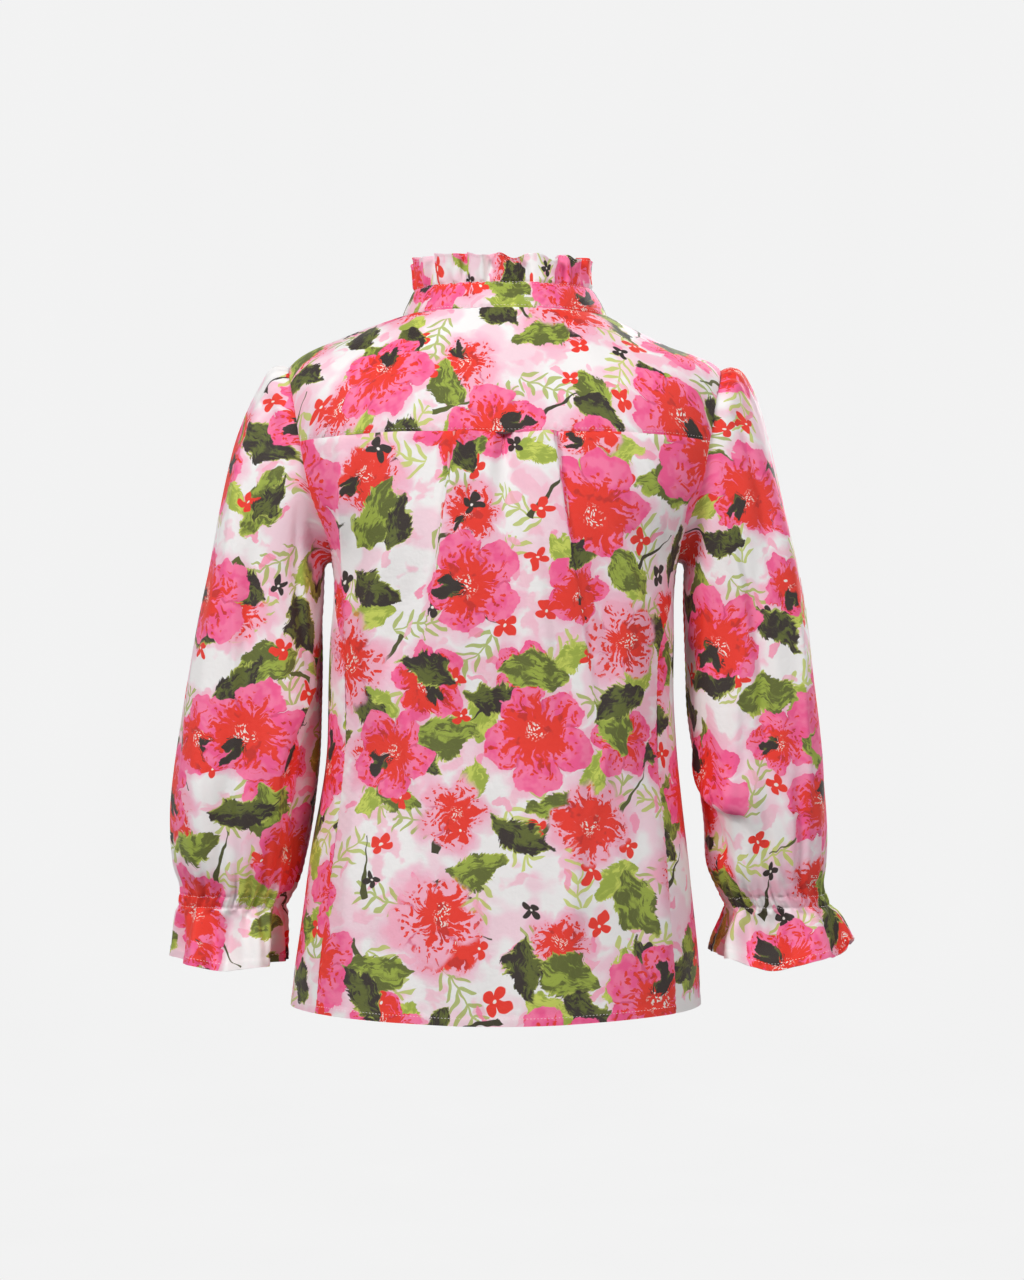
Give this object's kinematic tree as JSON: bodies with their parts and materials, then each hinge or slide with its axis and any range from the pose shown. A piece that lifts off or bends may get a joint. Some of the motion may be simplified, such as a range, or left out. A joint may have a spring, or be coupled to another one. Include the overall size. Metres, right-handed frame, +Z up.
{
  "type": "blouse",
  "caption": "Woman's blouse filled out as worn: stand collar with gathered ruffle, back yoke over pleats, buttoned front, gathered three-quarter sleeves ending in elasticated flounces.",
  "frame": {"origin": "middle of the neck opening at the height of the back neck seam, where the wearer's shoulders carry the blouse", "axes": "+X to the wearer's left, +Y to the back of the blouse, +Z up"},
  "size_m": [0.6074, 0.2526, 0.6561],
  "materials": {
    "printed_cotton": "matte plain-weave voile with a watercolour flower print on white",
    "button": "pearly"
  },
  "bodies": {
    "root": {"yoke": "printed_cotton", "back": "printed_cotton", "front_left": "printed_cotton", "front_right": "printed_cotton", "placket": "printed_cotton", "collar_stand": "printed_cotton", "collar_ruffle": "printed_cotton", "sleeve_left": "printed_cotton", "sleeve_right": "printed_cotton", "button_1": "button", "button_2": "button", "button_3": "button", "button_4": "button", "button_5": "button", "button_6": "button", "button_7": "button", "button_8": "button", "button_collar": "button"}
  },
  "joints": []
}
